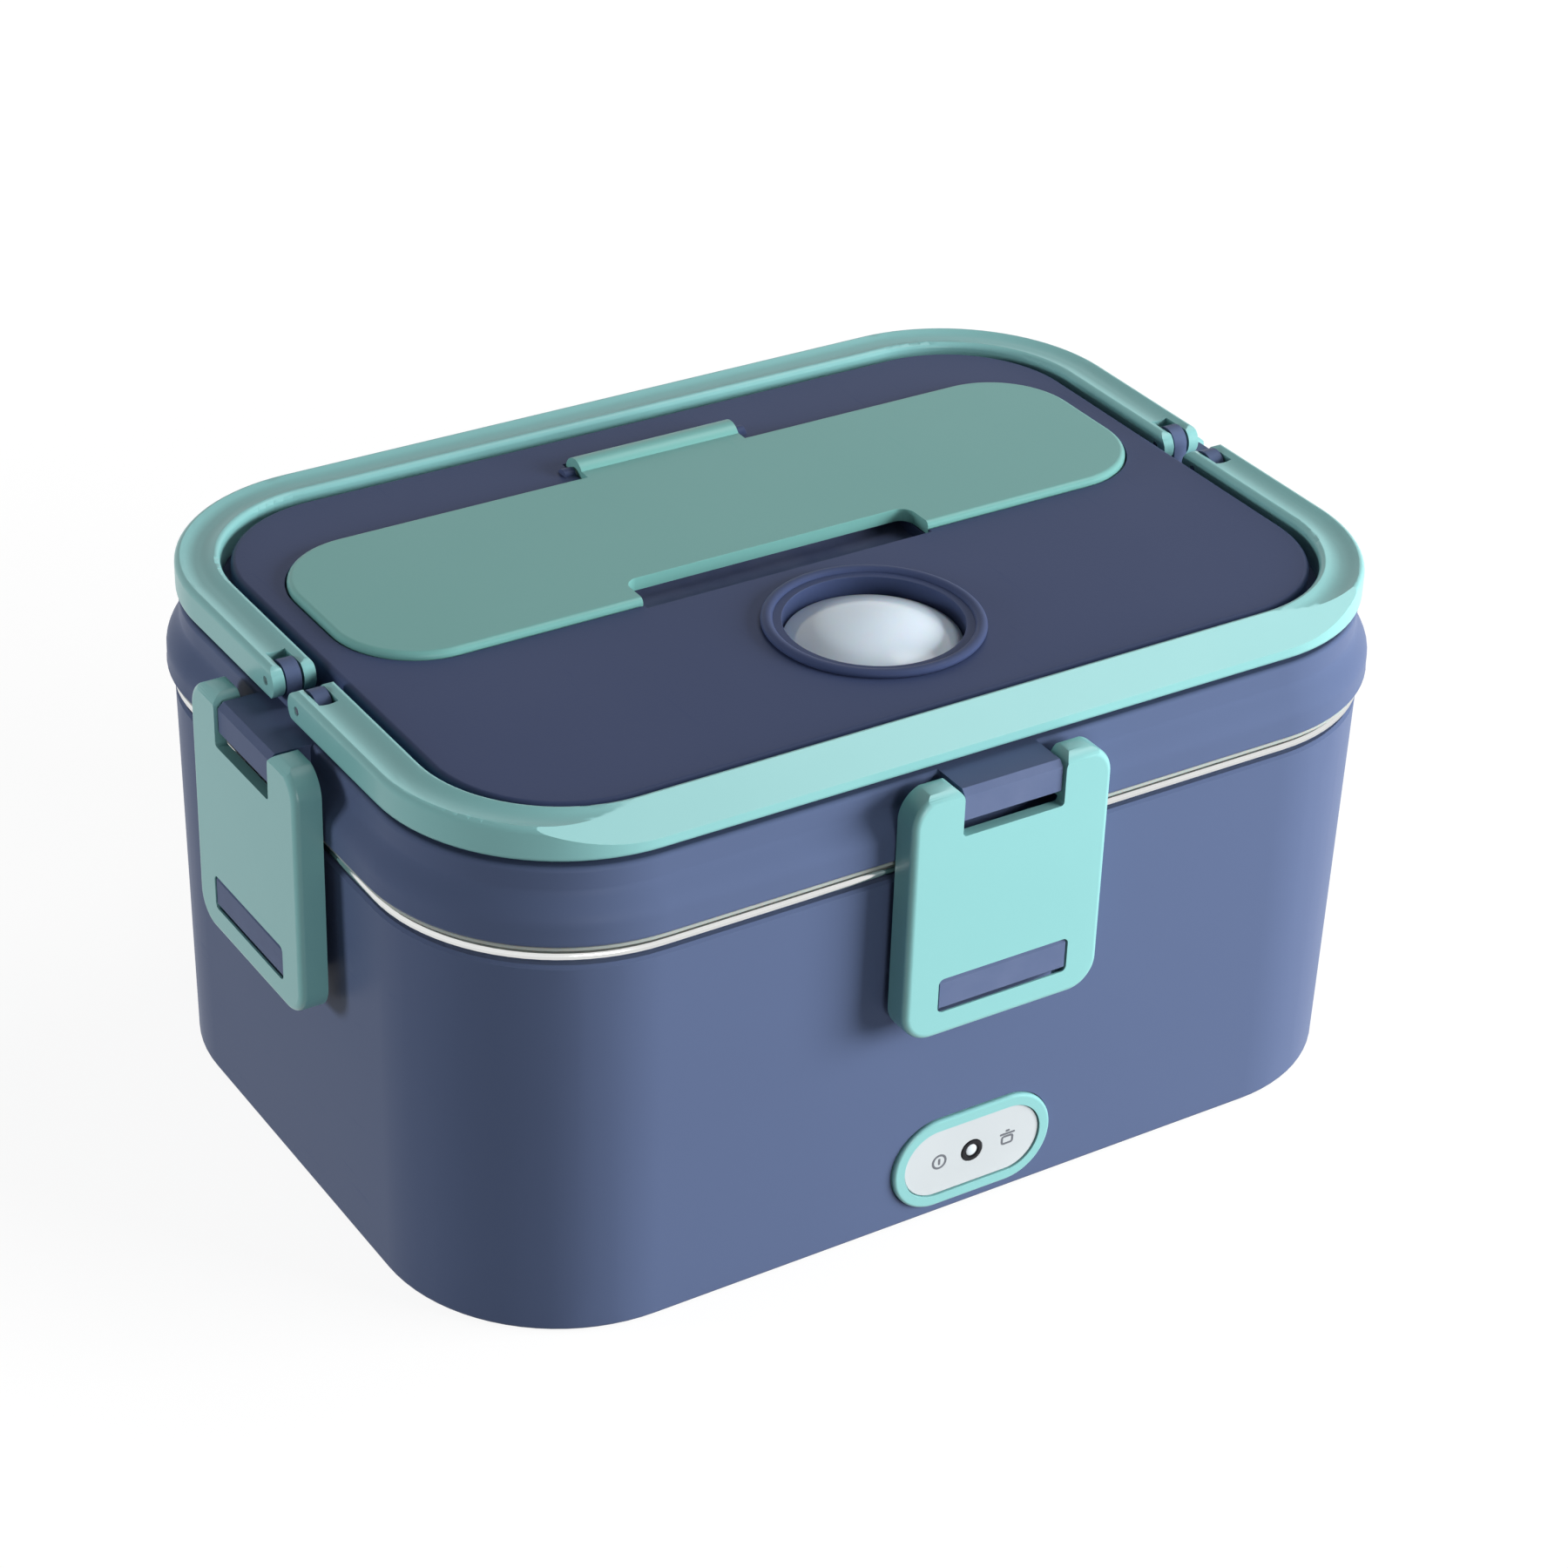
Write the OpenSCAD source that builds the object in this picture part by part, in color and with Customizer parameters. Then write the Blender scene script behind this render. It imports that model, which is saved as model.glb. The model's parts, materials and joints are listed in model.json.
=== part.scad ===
// Electric lunch box: a rounded housing with a fixed pot and a heater under it, a lift-out steel
// container, and a lift-off lid held by four flip latches. The lid carries two folding handles,
// a cutlery compartment with a hinged cover and a steam valve.
// X runs along the length, the front is at -Y, and Z = 0 is the table under the feet.

/* [Body] */
// Length of the body, without the latches
body_len = 220; // [200:1:264]
// Width of the body, front to back
body_wid = 156; // [145:1:180]
// Corner radius of the body, seen from above
corner_r = 39; // [34:1:46]
// Height of the housing's top edge above the table
body_h = 84.8; // [76:0.1:106]
// Wall thickness of the moulded housing
wall = 2.4; // [2:0.02:2.9]
// How far each side of the housing draws in towards the bottom
draft = 1; // [0:0.1:2]

/* [Base] */
// Height of the rubber feet
foot_h = 1.7; // [1.5:0.1:4]
// Radius of each rubber foot
foot_r = 7; // [5:0.5:9]
// Gap between the table and the housing's bottom edge
skirt_gap = 0.4; // [0.3:0.1:1.4]
// Thickness of the base cover
base_t = 2; // [1.6:0.1:3]
// Shank radius of the base screws
screw_r = 1.45; // [1.2:0.05:1.8]

/* [Steel pot and container] */
// Thickness of the steel sheet
sheet = 0.8; // [0.6:0.1:1]
// Height of the pot's floor above the table
pot_floor_z = 19.2; // [18:0.1:24]
// Distance from the body's outline in to the pot's wall
pot_inset = 7; // [6.4:0.1:8.4]
// Radius of the container's rolled rim
bead_r = 1.05; // [0.9:0.05:1.6]
// Distance from the body's outline in to the middle of the rolled rim
bead_inset = 0.8; // [0.6:0.1:2]
// Bottom fillet of the container
bowl_r = 8; // [8:0.5:14]

/* [Lid] */
// Height of the lid skirt, from its lower edge up to the channel for the handles
lid_h = 15.2; // [14.5:0.1:20]
// How far the skirt's lower bead stands out past the body
lid_flare = 1.5; // [0.4:0.1:1.8]
// How far the top of the skirt draws in from the body's outline
lid_draw = 1.5; // [1:0.1:4]
// Wall thickness of the lid mouldings
lid_t = 2; // [1.6:0.1:2.4]
// Height of the top panel above the handle channel
panel_rise = 7.1; // [6.6:0.1:9]
// Gap between the handles and the top panel
panel_gap = 2; // [0.5:0.1:2.4]
// Height of the grey silicone that shows between the container's rim and the lid
seal_show = 1.5; // [1:0.1:2]
// Height of the silicone seal
seal_h = 3.5; // [3:0.1:4.5]

/* [Handles] */
// Distance from the body's outline in to the outer face of the handles
handle_inset = 1; // [0.8:0.1:3.6]
// Width of the handle's section, seen from above
handle_w = 9; // [6:0.1:10]
// Height of the handle's section
handle_h = 7; // [6:0.1:8.4]
// Gap between the lid's channel and the handles lying in it
handle_ride = 1.4; // [0.8:0.1:2]
// How far the top of the front grip falls towards its outer edge
grip_fall = 4.4; // [1:0.1:4.6]
// Distance of each handle pivot from the middle of the lid
handle_pivot_y = 6.6; // [6:0.1:12]
// Width of the lug that stands in each handle fork
lug_w = 3.2; // [2.6:0.1:3.4]
// Radius of the handle pins
handle_pin_r = 0.9; // [0.8:0.1:1.4]

/* [Latches] */
// Width of each latch
latch_w = 45; // [40:1:60]
// Distance from the latch pivot down to the middle of the latch's slot
slot_drop = 40.3; // [38:0.1:44]
// Height of the bar at the foot of each latch, below the slot
bar_h = 5.5; // [4.5:0.1:9]
// Distance from the latch pivot out to the face of the latch
face_out = 3.8; // [3.4:0.1:4.6]
// Face thickness of the latch
latch_t = 2.4; // [2:0.1:2.8]
// Width of the notch between the arms
notch_w = 23; // [18:1:28]
// Width of the slot that goes over the catch lug
slot_w = 30; // [24:1:32]
// Height of that slot
slot_h = 7.6; // [7:0.1:10]
// Radius of the latch pins
latch_pin_r = 1.1; // [1:0.05:1.6]

/* [Cutlery compartment] */
// Length of the cover
cover_len = 184; // [160:1:186]
// Width of the cover, front to back
cover_wid = 51.5; // [46:0.5:54]
// Corner radius of the cover
cover_r = 18; // [12:1:22]
// Distance from the middle of the lid back to the middle of the cover
cover_y = 20.25; // [18:0.25:22]
// How far the cover stands above the panel
cover_rise = 1.4; // [1:0.1:2]
// Thickness of the cover
cover_t = 2.8; // [2.4:0.1:3.2]
// Depth of the compartment below the top of the panel
tray_depth = 14; // [10:0.5:14]
// Width of the finger notch in the cover's front edge
grip_w = 67; // [50:1:90]
// Depth of that notch
grip_depth = 8; // [5:0.5:9]
// Width of the hinge tab at the cover's rear edge
tab_w = 38; // [28:1:50]
// Place of the hinge tab along the length
tab_x = 2; // [-6:0.5:6]

/* [Steam valve] */
// Radius of the dome
dome_r = 17; // [13:0.5:18]
// Place of the valve along the length
valve_x = 2; // [-8:0.5:8]
// Distance of the valve forward of the middle of the lid
valve_y = 33.5; // [32:0.5:35]
// Depth of the valve's well below the panel
well_depth = 8.5; // [7:0.5:10]

/* [Indicator] */
// Length of the oval bezel
bezel_len = 37.5; // [32:0.5:44]
// Height of the oval bezel
bezel_h = 20.6; // [16:0.1:21]
// Place of the indicator along the length
indicator_x = 1.3; // [-4:0.1:4]
// Height of the bezel's middle above the table
bezel_z = 13.6; // [13:0.1:14.5]
// Width of the bezel's visible ring
bezel_band = 2.5; // [2:0.1:3.5]
// Radius of the lamp lens
lens_r = 2.4; // [1.8:0.1:3]

/* [Power inlet] */
// Length of the inlet's socket
socket_len = 20; // [17:0.5:22]
// Height of the inlet's socket
socket_h = 9.4; // [8:0.1:9.6]
// Depth of the inlet's socket
socket_depth = 11; // [9:0.5:12]
// Distance between the two inlet pins
pin_pitch = 8.6; // [7.5:0.1:9]
// Height of the inlet's middle above the table
inlet_z = 12.6; // [12.4:0.1:13]

/* [Heater] */
// Length of the heating plate
plate_len = 130; // [100:1:150]
// Width of the heating plate
plate_wid = 84; // [60:1:96]
// Thickness of the heating plate
plate_t = 2.8; // [2:0.1:3]
// Length of the heater element
element_len = 70; // [50:1:90]
// Width of the heater element
element_wid = 24; // [18:1:36]
// Thickness of the heater element
element_t = 4.2; // [3:0.1:4.5]

/* [Fits] */
// Gap between pieces that move past each other
gap = 0.4; // [0.3:0.05:0.5]
// Resting gap under rounded pieces
seat_gap = 0.3; // [0.2:0.05:0.4]
// Radial running clearance of the hinge pins
run_fit = 0.05; // [0.03:0.01:0.08]

/* [Hidden] */
$fn = 64;

navy = [0.25, 0.28, 0.40];
teal = [0.45, 0.70, 0.68];
steel = [0.80, 0.81, 0.82];
black = [0.08, 0.08, 0.09];
white = [0.92, 0.94, 0.95];
brass = [0.78, 0.62, 0.30];

// Clearance round pins and screws that stay put
press_fit = 0.02;

// Heights of the stacked rims
flange_z = body_h + sheet;
bead_z = flange_z + seat_gap + bead_r;
rim_z = bead_z + bead_r;
lid_z = rim_z + seal_show;
shelf_z = lid_z + lid_h;
panel_z = shelf_z + panel_rise;
seal_z = rim_z + seat_gap;
flange_low_z = seal_z + seal_h;
ledge_z = flange_low_z + lid_t;
ledge_top_z = ledge_z + 1.6;
plug_z = rim_z - 1.2;
plug_top_z = plug_z + 1.6;
seal_u = lid_flare - lid_t - 0.2 - seat_gap;

// Housing and base
edge_r = 1.2;
base_z = foot_h;
base_top_z = base_z + base_t;
base_inset = draft + wall + gap;
base_ledge = 10;
base_ledge_t = 2;
screw_in = 20;
screw_x = body_len / 2 - screw_in;
screw_y = body_wid / 2 - screw_in;
foot_x = screw_x - foot_r - 5;
foot_y = screw_y - foot_r - 5;
head_r = screw_r + 1.6;
boss_r = screw_r + 2.35;
boss_h = 9;

// Container
bowl_inset = pot_inset + 2;
bowl_lean = 1.4;
bowl_z = pot_floor_z + sheet + seat_gap;
pot_fillet = bowl_r - 1;
floor_reach = 30;
flange_in = 1.6;

// Handles and their channel
handle_z = shelf_z + handle_ride;
pivot_z = handle_z + handle_h / 2;
eye_r = handle_h / 2 + 0.1;
handle_u = -handle_inset - handle_w / 2;
lug_x = body_len / 2 + handle_u;
lug_r = eye_r - 0.2;
fork_w = lug_w + 2 * gap;
fork_back = lug_r + 1.4;
panel_u = -handle_inset - handle_w - panel_gap;
locate_u = panel_u - lid_t - gap;
locate_ledge = 1.5;
handle_edge = 1.2;

// Latches: the pivot stands out from the body's outline
pivot_out = 3.9;
latch_z = shelf_z - 3.8;
latch_behind = lid_flare + gap - pivot_out;
arm_top = pivot_out + lid_draw - gap;
lug_mid_z = latch_z - slot_drop;
latch_drop = slot_drop + slot_h / 2 + bar_h;
notch_b = -5.6;
latch_corner = 6.5;
latch_edge = 1.4;
latch_rim = 2.6;
block_w = notch_w - 2 * gap;
block_face = face_out - 0.7;
lug_face = face_out - 0.2;
pin_cover = 1.3;

// Panel, tray and cover
cover_z = panel_z + cover_rise - cover_t;
tray_len = cover_len - 10;
tray_wid = cover_wid - 8.5;
tray_r = cover_r - 4;
tray_z = panel_z - tray_depth;
hinge_r = 3.6;
hinge_y = cover_y + cover_wid / 2 + hinge_r + 1.3;
hinge_z = panel_z - 0.6;
hinge_pin_r = 1;
ear_r = hinge_pin_r + 0.8;
pocket_y0 = cover_y + cover_wid / 2 - 1;
pocket_y1 = hinge_y + hinge_r + 0.7;
ear_t = 2.5;
grip_r = 9.7;
grip_y = cover_y - cover_wid / 2 + 6.5;

// Valve
well_r = dome_r + 1;
well_z = panel_z - well_depth;
stem_r = 3.5;
vent_r = 2.5;
dome_top_z = panel_z + 0.3;
dome_rise = 3.6;
dome_ball = (dome_r * dome_r + dome_rise * dome_rise) / (2 * dome_rise);
seal_foot_r = 6;
seal_foot_h = 2.4;

// Indicator and inlet stand in the front and back walls
front_face = body_wid / 2 - draft * (1 - bezel_z / body_h);
bezel_proud = 1;
bezel_deep = wall + 1.3;
back_face = body_wid / 2 - draft * (1 - inlet_z / body_h);
socket_wall = 1.7;
pin_r = 1.2;
clamp_t = 1.2;
element_z = pot_floor_z - plate_t - element_t;
sensor_x = plate_len / 2 - 12;
lead_r = 0.9;
lead_bend = 3;

function arc(cx, cy, r, a0, a1, n = 6) =
    [for (i = [0:n]) [cx + r * cos(a0 + (a1 - a0) * i / n), cy + r * sin(a0 + (a1 - a0) * i / n)]];

// Outward offset of the housing's outer face at a height
function side_u(z) = -draft * (1 - z / body_h);

// Outward offset of the lid skirt's outer face: upright at the top, then bulging to the bead
function skirt_u(t) =
    let (s = min(1, max(0, (0.74 - t) / 0.52)))
    -lid_draw + (lid_draw + lid_flare - 0.1) * pow(sin(90 * s), 1.5);

// Section of a drawn sheet cup: wall, bottom fillet and the outer part of its floor
function cup(u_top, lean, z_top, z_floor, r) = concat(
    [[u_top, z_top]],
    arc(u_top - lean - r, z_floor + r, r, 0, -90),
    [[-floor_reach, z_floor], [-floor_reach, z_floor + sheet]],
    arc(u_top - lean - r, z_floor + r, r - sheet, -90, 0),
    [[u_top - sheet, z_top]]
);

// Sweeps a section round a rounded rectangle: section x is outward, section y is up
module round_sweep(len, wid, r) {
    for (side = [0:3]) {
        run = side % 2 == 0 ? len : wid;
        reach = side % 2 == 0 ? wid : len;
        rotate([0, 0, 90 * side]) {
            translate([-(run / 2 - r), reach / 2, 0])
                rotate([90, 0, 90])
                    linear_extrude(run - 2 * r)
                        children();
            translate([run / 2 - r, reach / 2 - r, 0])
                rotate_extrude(angle = 90)
                    translate([r, 0])
                        children();
        }
    }
}

module body_sweep() {
    round_sweep(body_len, body_wid, corner_r)
        children();
}

module round_rect(len, wid, r) {
    square([len - 2 * r, wid], center = true);
    square([len, wid - 2 * r], center = true);
    for (x = [-1, 1], y = [-1, 1])
        translate([x * (len / 2 - r), y * (wid / 2 - r)])
            circle(r);
}

module round_plate(len, wid, r, z0, z1) {
    translate([0, 0, z0])
        linear_extrude(z1 - z0)
            round_rect(len, wid, r);
}

// Plate that follows the body's outline at an outward offset
module body_plate(u, z0, z1) {
    round_plate(body_len + 2 * u, body_wid + 2 * u, corner_r + u, z0, z1);
}

// Plate whose upper edge is rounded
module pillow(len, wid, r, z0, z1, edge) {
    round_sweep(len, wid, r) {
        translate([-edge - 0.8, z0])
            square([0.8 + edge, z1 - z0 - edge]);
        translate([-edge - 0.8, z0])
            square([0.8, z1 - z0]);
        translate([-edge, z1 - edge])
            intersection() {
                circle(edge);
                square(edge);
            }
    }
    round_plate(len - 2 * edge, wid - 2 * edge, r - edge, z0, z1);
}

// Stadium-shaped bar along Y between two depths, standing upright
module oval_bar(len, high, y0, y1) {
    translate([0, y1, 0])
        rotate([90, 0, 0])
            linear_extrude(y1 - y0) {
                square([len - high, high], center = true);
                for (x = [-1, 1])
                    translate([x * (len - high) / 2, 0])
                        circle(high / 2);
            }
}

// Frame on one side of the body: 0 front, 1 right, 2 back, 3 left, with -Y outward
module on_side(side) {
    reach = side % 2 == 0 ? body_wid : body_len;
    rotate([0, 0, 90 * side])
        translate([0, -reach / 2, 0])
            children();
}

module cross_rod(r, len) {
    rotate([0, 90, 0])
        cylinder(r = r, h = len, center = true);
}

module at_screws() {
    for (x = [-1, 1], y = [-1, 1])
        translate([x * screw_x, y * screw_y, 0])
            children();
}

module at_inlet() {
    translate([0, back_face, inlet_z])
        children();
}

module at_indicator() {
    translate([indicator_x, -front_face, bezel_z])
        children();
}

// Lug that a latch hooks over: its front edges are eased so that the latch swings clear
module catch_lug() {
    half_h = (slot_h - 2 * gap) / 2;
    lead_in = 0.6;
    front = -pivot_out - lug_face;
    translate([-(slot_w - 2 * gap) / 2, 0, lug_mid_z])
        rotate([90, 0, 90])
            linear_extrude(slot_w - 2 * gap)
                polygon([
                    [wall / 2 + 0.4, -half_h], [front + lead_in, -half_h], [front, -half_h + lead_in],
                    [front, half_h - lead_in], [front + lead_in, half_h], [wall / 2 + 0.4, half_h]
                ]);
}

module outer_housing() {
    ledge_in = pot_inset - 0.5;
    color(navy)
        difference() {
            union() {
                body_sweep()
                    polygon(concat(
                        [[side_u(skirt_gap) - wall, skirt_gap]],
                        arc(side_u(skirt_gap) - edge_r, skirt_gap + edge_r, edge_r, -90, 0),
                        [
                            [0, body_h - 0.6], [-0.6, body_h], [-ledge_in, body_h],
                            [-ledge_in, body_h - wall], [-wall, body_h - ledge_in],
                            [-draft - wall, base_top_z + base_ledge_t],
                            [-base_ledge, base_top_z + base_ledge_t],
                            [-base_ledge, base_top_z], [-draft - wall, base_top_z]
                        ]
                    ));
                at_screws()
                    translate([0, 0, base_top_z])
                        cylinder(r = boss_r, h = boss_h);
                for (side = [0:3])
                    on_side(side)
                        catch_lug();
            }
            at_screws()
                translate([0, 0, base_top_z - 1])
                    cylinder(r = screw_r + press_fit, h = boss_h);
            at_indicator() {
                oval_bar(bezel_len + gap, bezel_h + gap, -4, wall + 1);
                translate([-bezel_len / 2 - 2, wall + 0.2, base_top_z - bezel_z - 1])
                    cube([bezel_len + 4, bezel_deep + 2 - wall, base_ledge_t + 2]);
            }
            at_inlet()
                oval_bar(socket_len + 2 * socket_wall + gap, socket_h + 2 * socket_wall + gap, -9, 4);
        }
}

module pot_liner() {
    color(steel)
        union() {
            body_sweep() {
                polygon(cup(-pot_inset, 0.6, flange_z, pot_floor_z, pot_fillet));
                translate([-pot_inset - sheet, body_h])
                    square([pot_inset + sheet - flange_in, sheet]);
            }
            body_plate(-floor_reach + 1, pot_floor_z, pot_floor_z + sheet);
        }
}

module food_container() {
    color(steel)
        union() {
            body_sweep() {
                polygon(cup(-bowl_inset, bowl_lean, rim_z, bowl_z, bowl_r));
                translate([-bowl_inset - sheet, rim_z - sheet])
                    square([bowl_inset + sheet - bead_inset, sheet]);
                translate([-bead_inset, bead_z])
                    circle(bead_r);
            }
            body_plate(-floor_reach + 1, bowl_z, bowl_z + sheet);
        }
}

module heating_plate() {
    color(steel)
        difference() {
            round_plate(plate_len, plate_wid, 16, pot_floor_z - plate_t, pot_floor_z);
            for (x = [-1, 1], y = [-1, 1])
                translate([x * (element_len / 2 + 4), y * (element_wid / 2 + 6), pot_floor_z - plate_t - 1])
                    cylinder(r = 1.2, h = plate_t);
        }
}

module heater_element() {
    color(black)
        round_plate(element_len, element_wid, 2, element_z, element_z + element_t);
}

// Bridge that presses the element against the plate, with a stiffening rib and four fixing feet
module heater_clamp() {
    foot_y = element_wid / 2 + 6;
    color(steel)
        difference() {
            union() {
                for (x = [-1, 1])
                    translate([x * element_len / 4, 0, 0])
                        rotate([90, 0, 90])
                            translate([0, 0, -5])
                                linear_extrude(10) {
                                    translate([-element_wid / 2 - gap - clamp_t, element_z - clamp_t])
                                        square([element_wid + 2 * (gap + clamp_t), clamp_t]);
                                    for (y = [-1, 1])
                                        translate([y * (element_wid / 2 + gap + clamp_t / 2) - clamp_t / 2,
                                                   element_z - clamp_t])
                                            square([clamp_t, element_t + clamp_t]);
                                    for (y = [-1, 1])
                                        translate([y * (foot_y + 0.4) - 5, element_z + element_t - clamp_t])
                                            square([10, clamp_t]);
                                }
                translate([-element_len / 4, -3, element_z - clamp_t])
                    cube([element_len / 2, 6, clamp_t]);
            }
            for (x = [-1, 1], y = [-1, 1])
                translate([x * element_len / 4, y * (foot_y + 1.5), element_z])
                    cylinder(r = 1.6, h = 2 * element_t);
        }
}

// Disc thermostat with its flange and two blade terminals
module thermostat() {
    color(black)
        translate([sensor_x, 0, pot_floor_z - plate_t])
            mirror([0, 0, 1])
                union() {
                    cylinder(r = 8.2, h = 1.4);
                    cylinder(r = 7.2, h = 6.4);
                    for (y = [-1, 1])
                        translate([-0.4, y * 4.6 - 1.6, 6])
                            cube([0.8, 3.2, 5]);
                }
}

module thermal_fuse() {
    color(white)
        translate([-sensor_x, 0, pot_floor_z - plate_t - 2.3])
            union() {
                rotate([90, 0, 0])
                    cylinder(r = 2.2, h = 12, center = true);
                rotate([90, 0, 0])
                    cylinder(r = 0.6, h = 18, center = true);
                translate([-5, -2.5, 1.3])
                    cube([10, 5, 1]);
            }
}

function unit(v) = v / norm(v);

// Route of a wire with each corner drawn as a short curve
function rounded_route(points, steps = 3) = concat(
    [points[0]],
    [
        for (i = [1:len(points) - 2])
            let (
                corner = points[i],
                back = points[i - 1] - corner,
                ahead = points[i + 1] - corner,
                start = corner + min(lead_bend, norm(back) / 2.5) * unit(back),
                end = corner + min(lead_bend, norm(ahead) / 2.5) * unit(ahead)
            )
            for (k = [0:steps])
                let (t = k / steps)
                (1 - t) * (1 - t) * start + 2 * t * (1 - t) * corner + t * t * end
    ],
    [points[len(points) - 1]]
);

// One insulated wire: a tube of eight sides swept along a route
module lead(points) {
    sides = 8;
    route = rounded_route(points);
    last = len(route) - 1;
    rings = [
        for (i = [0:last])
            let (
                along = unit(route[min(i + 1, last)] - route[max(i - 1, 0)]),
                across = unit(cross(along, [0.23, 0.31, 1])),
                over = cross(along, across)
            )
            for (k = [0:sides - 1])
                route[i] + lead_r * (across * cos(360 * k / sides) + over * sin(360 * k / sides))
    ];
    sleeve = [
        for (i = [0:last - 1], k = [0:sides - 1])
            let (a = i * sides + k, b = i * sides + (k + 1) % sides)
            [a, a + sides, b + sides, b]
    ];
    polyhedron(rings, concat(
        [[for (k = [0:sides - 1]) k]],
        sleeve,
        [[for (k = [sides - 1:-1:0]) last * sides + k]]
    ));
}

module internal_leads() {
    tail_y = back_face - socket_depth - 7.5;
    run_z = 8;
    color("firebrick") {
        lead([[pin_pitch / 2, tail_y, inlet_z], [pin_pitch / 2, tail_y - 5, run_z],
              [sensor_x + 1.35, 24, run_z], [sensor_x + 1.35, 3.4, run_z]]);
        lead([[sensor_x - 1.35, -6, run_z], [sensor_x - 1.35, -3, run_z], [sensor_x - 9, -1, run_z],
              [element_len / 2 + 1, 0, element_z + 2]]);
        lead([[-element_len / 2 - 1, 0, element_z + 2], [-element_len / 2 - 5, -4, run_z],
              [-sensor_x, -14, run_z], [-sensor_x, -9.6, pot_floor_z - plate_t - 2.3]]);
        lead([[-sensor_x, 9.6, pot_floor_z - plate_t - 2.3], [-sensor_x, 16, run_z],
              [-pin_pitch / 2, tail_y - 5, run_z], [-pin_pitch / 2, tail_y, inlet_z]]);
    }
}

module base_cover() {
    color(navy)
        difference() {
            union() {
                body_plate(-base_inset, base_z, base_top_z);
                for (x = [-2:2])
                    translate([x * 24 - 0.8, -plate_wid / 2, base_top_z - 0.5])
                        cube([1.6, plate_wid, 1.7]);
            }
            at_screws() {
                translate([0, 0, base_z - 1])
                    cylinder(r = screw_r + gap, h = base_t + 2);
                translate([0, 0, base_z - 1])
                    cylinder(r = head_r + gap, h = 1.9);
            }
        }
}

module base_screws() {
    color(steel)
        at_screws()
            difference() {
                union() {
                    translate([0, 0, base_z])
                        cylinder(r = head_r, h = 0.9);
                    translate([0, 0, base_z])
                        cylinder(r = screw_r, h = boss_h - 1);
                }
                for (turn = [0, 90])
                    translate([0, 0, base_z - 0.1])
                        rotate([0, 0, turn])
                            cube([3.4, 0.7, 1.2], center = true);
            }
}

module rubber_feet() {
    color(black)
        for (x = [-1, 1], y = [-1, 1])
            translate([x * foot_x, y * foot_y, 0])
                rotate_extrude()
                    polygon([[0, 0], [foot_r - 0.7, 0], [foot_r, foot_h], [0, foot_h]]);
}

module power_inlet() {
    body_l = socket_len + 2 * socket_wall;
    body_w = socket_h + 2 * socket_wall;
    color(black)
        at_inlet()
            difference() {
                union() {
                    oval_bar(body_l, body_w, -socket_depth - 2, 0.6);
                    oval_bar(body_l + 4, body_w + 3.6, 0.2, 1.1);
                }
                oval_bar(socket_len, socket_h, -socket_depth, 2);
                for (x = [-1, 1])
                    translate([x * pin_pitch / 2, -socket_depth + 1, 0])
                        rotate([90, 0, 0])
                            cylinder(r = pin_r, h = 6);
            }
}

module inlet_pins() {
    color(brass)
        at_inlet()
            for (x = [-1, 1])
                translate([x * pin_pitch / 2, -2, 0])
                    rotate([90, 0, 0])
                        union() {
                            translate([0, 0, 1])
                                cylinder(r = pin_r, h = socket_depth + 4);
                            cylinder(r1 = pin_r * 0.6, r2 = pin_r, h = 1.02);
                        }
}

module indicator_board() {
    color("darkgreen")
        at_indicator()
            oval_bar(bezel_len - 2, bezel_h - 2.4, bezel_deep, bezel_deep + 1.2);
}

module indicator_led() {
    color(white)
        at_indicator()
            translate([0, bezel_deep, 0])
                rotate([90, 0, 0])
                    union() {
                        cylinder(r = 1.5, h = 1.2);
                        translate([0, 0, 1])
                            sphere(0.8);
                    }
}

module indicator_bezel() {
    lip = bezel_h - 2 * bezel_band;
    inner_l = bezel_len - 2 * bezel_band;
    color(teal)
        at_indicator()
            difference() {
                union() {
                    rotate([90, 0, 0])
                        pillow(bezel_len, bezel_h, bezel_h / 2 - 0.02, -wall - 0.4, bezel_proud, 0.7);
                    oval_bar(bezel_len + 2.4, bezel_h - 1.4, wall + 0.35, bezel_deep);
                }
                oval_bar(inner_l, lip, -5, wall + 4);
            }
}

module indicator_face() {
    inner_l = bezel_len - 2 * bezel_band - 0.3;
    color(white)
        at_indicator()
            difference() {
                oval_bar(inner_l, bezel_h - 2 * bezel_band - 0.3, -0.6, 1.4);
                rotate([90, 0, 0])
                    cylinder(r = lens_r + 0.1, h = 10, center = true);
            }
}

module lamp_lens() {
    color(black)
        at_indicator()
            rotate([90, 0, 0])
                difference() {
                    union() {
                        translate([0, 0, -1.8])
                            cylinder(r = lens_r, h = 2.6);
                        translate([0, 0, -1.8])
                            cylinder(r = lens_r + 0.8, h = 0.4);
                    }
                    translate([0, 0, 0.4])
                        cylinder(r = lens_r - 0.8, h = 1);
                }
}

// Block between the arms of one latch, with the bore for the latch pin
module hinge_block() {
    difference() {
        translate([-block_w / 2, -pivot_out, latch_z])
            rotate([90, 0, 90])
                linear_extrude(block_w)
                    polygon([
                        [pivot_out + lid_draw + 1.5, shelf_z - latch_z],
                        [1.2 - block_face, shelf_z - latch_z],
                        [-block_face, shelf_z - latch_z - 1.2], [-block_face, -2.6],
                        [pivot_out + lid_draw + 0.5, -2.6]
                    ]);
        translate([0, -pivot_out, latch_z])
            cross_rod(latch_pin_r + press_fit, block_w + 2);
    }
}

// Lug that stands in one handle fork
module handle_lug() {
    difference() {
        union() {
            translate([0, 0, pivot_z])
                cross_rod(lug_r, lug_w);
            translate([-lug_w / 2, -lug_r, shelf_z - 0.5])
                cube([lug_w, 2 * lug_r, pivot_z - shelf_z + 0.5]);
        }
        translate([0, 0, pivot_z])
            cross_rod(handle_pin_r + press_fit, lug_w + 2);
    }
}

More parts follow.
